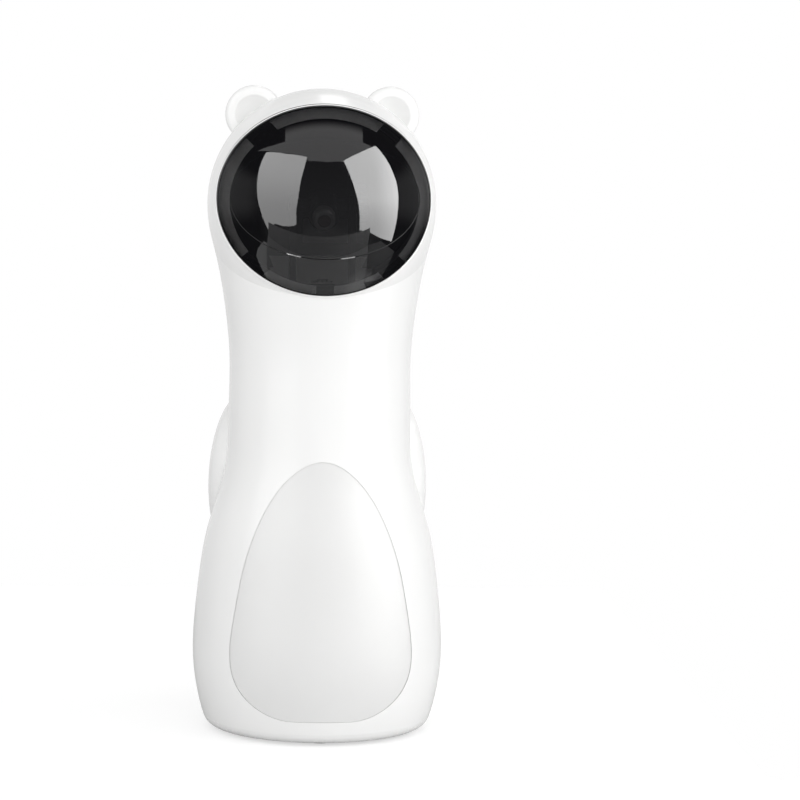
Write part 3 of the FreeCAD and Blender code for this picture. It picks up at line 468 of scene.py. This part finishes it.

# %% [markdown]
# ## Smoked dome
# The face is one clear dome, smoke-black on its outside and polished on both sides. Light goes straight
# through such a thin even wall, so the smoke is an alpha rather than glass: darkened going in and again
# coming out. Only the outer skin carries it, or the wall would darken the view twice. Both skins shine,
# so its gloss is doubled. The ring behind it is black plastic with a pale grey front, and its black
# sides are painted shade that keeps its notches dark.

# %% Dome
def smoked_dome():
    """Smoke on the outer skin alone, smears in the polish, and shading by the dome's own formula."""
    outer_skin, smoke = 0.955, 0.79
    paint = Paint.called("smoked_acrylic")
    paint.set("Alpha", dome_sum(paint).above(outer_skin, 0.02) * smoke)
    smear = paint.noise(60.0, 4.0, 0.6)
    paint.set("Roughness", 0.02 + smear.above(0.62, 0.3) * 0.05)
    paint.relief(paint.noise(160.0, 2.0), 0.0000005, outward=dome_outward(paint))
    return paint.constants(Base_Color=(0.005, 0.005, 0.006), IOR=1.5, Specular_IOR_Level=1.0).material


def painted_ring():
    """The ring inside the dome: black plastic whose front face is sprayed pale grey. Its black sides are
    also painted shade, which keeps the ring's notches dark.
    """
    front_face = 0.885
    paint = Paint.called("painted_ring")
    cloud = paint.noise(70.0, 3.0)
    grain = paint.noise(1800.0, 3.0, 0.6)
    # Painted shade: everything but the pale front face is black, so the notches read dark.
    front = dome_sum(paint).above(front_face, 0.01)
    pale = paint.blend(cloud, (0.85, 0.85, 0.85), (0.9, 0.9, 0.9))
    paint.set("Base Color", paint.blend(front, (0.012, 0.012, 0.013), pale))
    paint.set("Roughness", 0.42 + (grain - 0.5) * 0.16)
    paint.relief(grain, 0.00001)
    return paint.constants(IOR=1.45).material

# %% [markdown]
# ## Moulded parts in general
# Liner, tray, feet and gears differ in colour and gloss, and share the marks of their mould: a cloudy
# tint, and the fine grain that spark erosion leaves in the steel. One function with a few sizes makes
# them all. The laser's barrel and the thin rims wear it too, with a grain too fine to see.

# %% Moulded finish
def moulded(name, colour, variation, roughness, grain_scale, grain_depth, bend=1.45):
    """A moulded part: cloudy colour, a fine erosion grain in gloss and relief."""
    paint = Paint.called(name)
    cloud = paint.noise(70.0, 3.0)
    low = tuple(channel * (1 - variation) for channel in colour)
    high = tuple(min(1.0, channel * (1 + variation)) for channel in colour)
    paint.set("Base Color", paint.blend(cloud, low, high))
    grain = paint.noise(grain_scale, 3.0, 0.6)
    paint.set("Roughness", roughness + (grain - 0.5) * 0.16)
    paint.relief(grain, grain_depth)
    return paint.constants(IOR=bend).material

# %% [markdown]
# ## Metals, rubber and the electronics
# These parts show when the battery door is off, from below, or faintly through the dome. Each has its own
# finish: steel with fine tool marks, green solder mask with copper runs under it, and printed cell
# jackets.

# %% Metals
def metal(name, colour, roughness, ring_scale, axis="Z"):
    """Bare metal with fine tool marks across one axis: a sine along the axis, broken up by noise."""
    paint = Paint.called(name)
    along = dict(zip("XYZ", paint.axes()))[axis]
    wobble = paint.noise(900.0, 3.0)
    marks = (along * ring_scale + wobble * 9.0).sine() * 0.5 + 0.5
    paint.set("Base Color", paint.blend(wobble, tuple(0.88 * c for c in colour), colour))
    paint.set("Roughness", roughness + marks * 0.1 + wobble * 0.08)
    paint.relief(marks * 0.5 + wobble * 0.5, 0.000006)
    return paint.constants(Metallic=1.0).material


def solder_mask():
    """The controller board: green lacquer over copper runs, which are the edges of a fine cell pattern."""
    paint = Paint.called("green_solder_mask")
    values = {"Vector": paint.place, "Scale": 420.0, "Randomness": 0.85}
    cells = paint.node("ShaderNodeTexVoronoi", {"feature": "DISTANCE_TO_EDGE"}, values)["Distance"]
    run = cells.below(0.07, 0.03)
    paint.set("Base Color", paint.blend(run, (0.006, 0.085, 0.03), (0.02, 0.19, 0.07)))
    paint.set("Roughness", 0.28 + paint.noise(500.0, 3.0) * 0.1)
    paint.relief(run, 0.00003)
    return paint.constants(IOR=1.5, Coat_Weight=0.3).material


def cell_jacket():
    """A plain jacket: a dark sleeve, a copper band near the upper end and bare steel at the very end."""
    paint = Paint.called("plain_cell_jacket")
    x, y, z = paint.axes()
    low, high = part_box("battery_cell_left")
    length = high.z - low.z
    band = z.above(low.z + length * 0.72, 0.0004)
    bare = z.above(high.z - 0.0025, 0.0003)
    sleeve = paint.blend(paint.noise(60.0, 3.0), (0.012, 0.013, 0.016), (0.02, 0.021, 0.026))
    copper = paint.blend(paint.noise(300.0, 3.0), (0.5, 0.23, 0.09), (0.58, 0.28, 0.12))
    colour = paint.blend(band, sleeve, copper)
    paint.set("Base Color", paint.blend(bare, colour, (0.55, 0.54, 0.52)))
    paint.set("Metallic", bare)
    paint.set("Roughness", 0.25 + paint.noise(800.0, 3.0) * 0.1)
    return paint.constants(Coat_Weight=0.2).material


finishes = {
    "white_shell": glossy_white(),
    "belly_plastic": satin_belly(),
    "smoked_lens": smoked_dome(),
    "bezel_black": painted_ring(),
    "inner_black": moulded("liner_black", (0.012, 0.012, 0.013), 0.15, 0.55, 1500.0, 0.00002, bend=1.25),
    "base_plastic": moulded("base_grey_abs", (0.55, 0.55, 0.54), 0.03, 0.5, 1500.0, 0.00002),
    "foot_rubber": moulded("foot_rubber", (0.035, 0.035, 0.037), 0.2, 0.75, 1100.0, 0.00005),
    "tray_plastic": moulded("tray_black_abs", (0.045, 0.045, 0.047), 0.1, 0.5, 1500.0, 0.00002),
    "component_black": moulded("epoxy_black", (0.03, 0.03, 0.03), 0.15, 0.5, 2500.0, 0.00001),
    "button_grey": moulded("button_grey_abs", (0.32, 0.32, 0.33), 0.04, 0.35, 2200.0, 0.00001),
    "clear_plastic": moulded("light_pipe_clear", (0.75, 0.8, 0.78), 0.02, 0.1, 900.0, 0.000004, bend=1.49),
    "gear_nylon": moulded("gear_acetal", (0.045, 0.045, 0.047), 0.08, 0.4, 1300.0, 0.00001),
    "screw_steel": metal("screw_steel", (0.62, 0.6, 0.58), 0.24, 9000.0),
    "contact_metal": metal("nickel_contact", (0.66, 0.63, 0.58), 0.2, 7000.0),
    "socket_metal": metal("socket_steel", (0.58, 0.58, 0.58), 0.22, 8000.0),
    "motor_steel": metal("motor_steel", (0.6, 0.6, 0.6), 0.25, 12000.0),
    "pin_steel": metal("pin_steel", (0.66, 0.66, 0.66), 0.15, 15000.0, axis="X"),
    "laser_brass": moulded("anodised_barrel", (0.13, 0.13, 0.13), 0.05, 0.4, 1800.0, 0.000004),
    "laser_glass": moulded("laser_lens_glass", (0.03, 0.005, 0.006), 0.05, 0.06, 500.0, 0.000002, 1.52),
    "circuit_board": solder_mask(),
    "cell_jacket": cell_jacket(),
}

# %% Put the finishes on the frame
for name, obj in nodes.items():
    for holder in obj.material_slots:
        holder.material = finishes[holder.material.name.split(".")[0]]

# %% [markdown]
# ## Three rings on the dome
# A hair-thin oval bead runs on the dome, round the window that the beam sweeps. Its upper half sinks into
# the dome's wall, and two short lengths near its bottom are bright metal: painted glints. A black gasket
# seals the dome's edge, and the white shell ends outside it in a rolled edge. Each is a circle carried
# along a closed path: an oval seen from the front, pressed back onto the dome.

# %% Tube along a path
def closed_tube(name, path, radius, sides, material, centre):
    """A round tube along a closed path: at every point of the path a circle stands across the path's
    direction, which is the step from the point before to the point after. The circle's first axis points
    away from the centre."""
    along = np.roll(path, -1, axis=0) - np.roll(path, 1, axis=0)
    along /= np.linalg.norm(along, axis=1, keepdims=True)
    away = path - centre
    away -= along * np.sum(away * along, axis=1, keepdims=True)
    away /= np.linalg.norm(away, axis=1, keepdims=True)
    beside = np.cross(along, away)
    angle = np.linspace(0, 2 * math.pi, sides, endpoint=False)[None, :, None]
    spokes = np.cos(angle) * away[:, None, :] + np.sin(angle) * beside[:, None, :]
    points = path[:, None, :] + radius * spokes
    rows, columns = np.meshgrid(np.arange(len(path)), np.arange(sides), indexing="ij")
    next_row, next_column = (rows + 1) % len(path), (columns + 1) % sides
    corners = [rows * sides + columns, next_row * sides + columns,
               next_row * sides + next_column, rows * sides + next_column]
    faces = np.stack(corners, axis=-1).reshape(-1, 4)
    mesh = bpy.data.meshes.new(name)
    mesh.from_pydata(points.reshape(-1, 3).tolist(), [], faces.tolist())
    mesh.polygons.foreach_set("use_smooth", np.ones(len(faces), bool))
    mesh.materials.append(material)
    made = bpy.data.objects.new(name, mesh)
    scene.collection.objects.link(made)
    return made


# %% Bead, gasket and rolled edge
def dome_ring(name, oval, depth, radius, material, sink=0.0):
    """A tube on an oval, x = half width times cosine and z = middle plus half height times sine, laid so
    that its middle is that depth under the dome's outside. Its upper half goes deeper by the sink."""
    half_width, half_height, middle_height = oval
    turn = np.linspace(0, 2 * math.pi, 288, endpoint=False)
    x = half_width * np.cos(turn)
    z = middle_height + half_height * np.sin(turn)
    deeper = depth + sink * np.clip(np.sin(turn) * 2.5, 0, 1)
    path = np.stack([x, dome_depth(x, z, deeper), z], axis=1)
    ring = closed_tube(name, path, radius, 12, material, np.array([0, 0, dome_centre_height]))
    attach(ring, "root")
    print(name, "radius", radius, "triangles", 2 * len(ring.data.polygons))


def bead_paint():
    """Black, with two short lengths of bright metal near the bottom that are painted glints."""
    glint_middle, glint_start, glint_end, glint_top = -0.0017, 0.0065, 0.0105, 0.165
    paint = Paint.called("bead_black_painted_glints")
    x, y, z = paint.axes()
    side = paint.maths("ABSOLUTE", x - glint_middle)
    # Painted glints: two short lengths of pale mirror metal near the bottom.
    bright = side.above(glint_start, 0.001) * side.below(glint_end, 0.001) * z.below(glint_top, 0.002)
    paint.set("Metallic", bright)
    paint.set("Base Color", paint.blend(bright, (0.006, 0.006, 0.006), (0.9, 0.9, 0.9)))
    paint.relief(paint.noise(900.0), 0.0000005)
    return paint.constants(Roughness=0.12, IOR=1.25).material


bead_black_painted_glints = bead_paint()
gasket_black = moulded("gasket_black", (0.008, 0.008, 0.008), 0.1, 0.6, 900.0, 0.000004, bend=1.1)
rim_white = moulded("rim_white", (0.87, 0.87, 0.865), 0.015, 0.34, 900.0, 0.000004)
bead_oval = (0.0301, 0.0186, 0.1743)
gasket_oval = (0.03385, 0.02955, 0.1737)
edge_oval = (0.0344, 0.0301, 0.1737)
dome_ring("window_bead", bead_oval, 0.00005, 0.00018, bead_black_painted_glints, sink=0.0007)
dome_ring("dome_gasket", gasket_oval, 0.0001, 0.00022, gasket_black)
dome_ring("rolled_edge", edge_oval, 0.00025, 0.0004, rim_white)
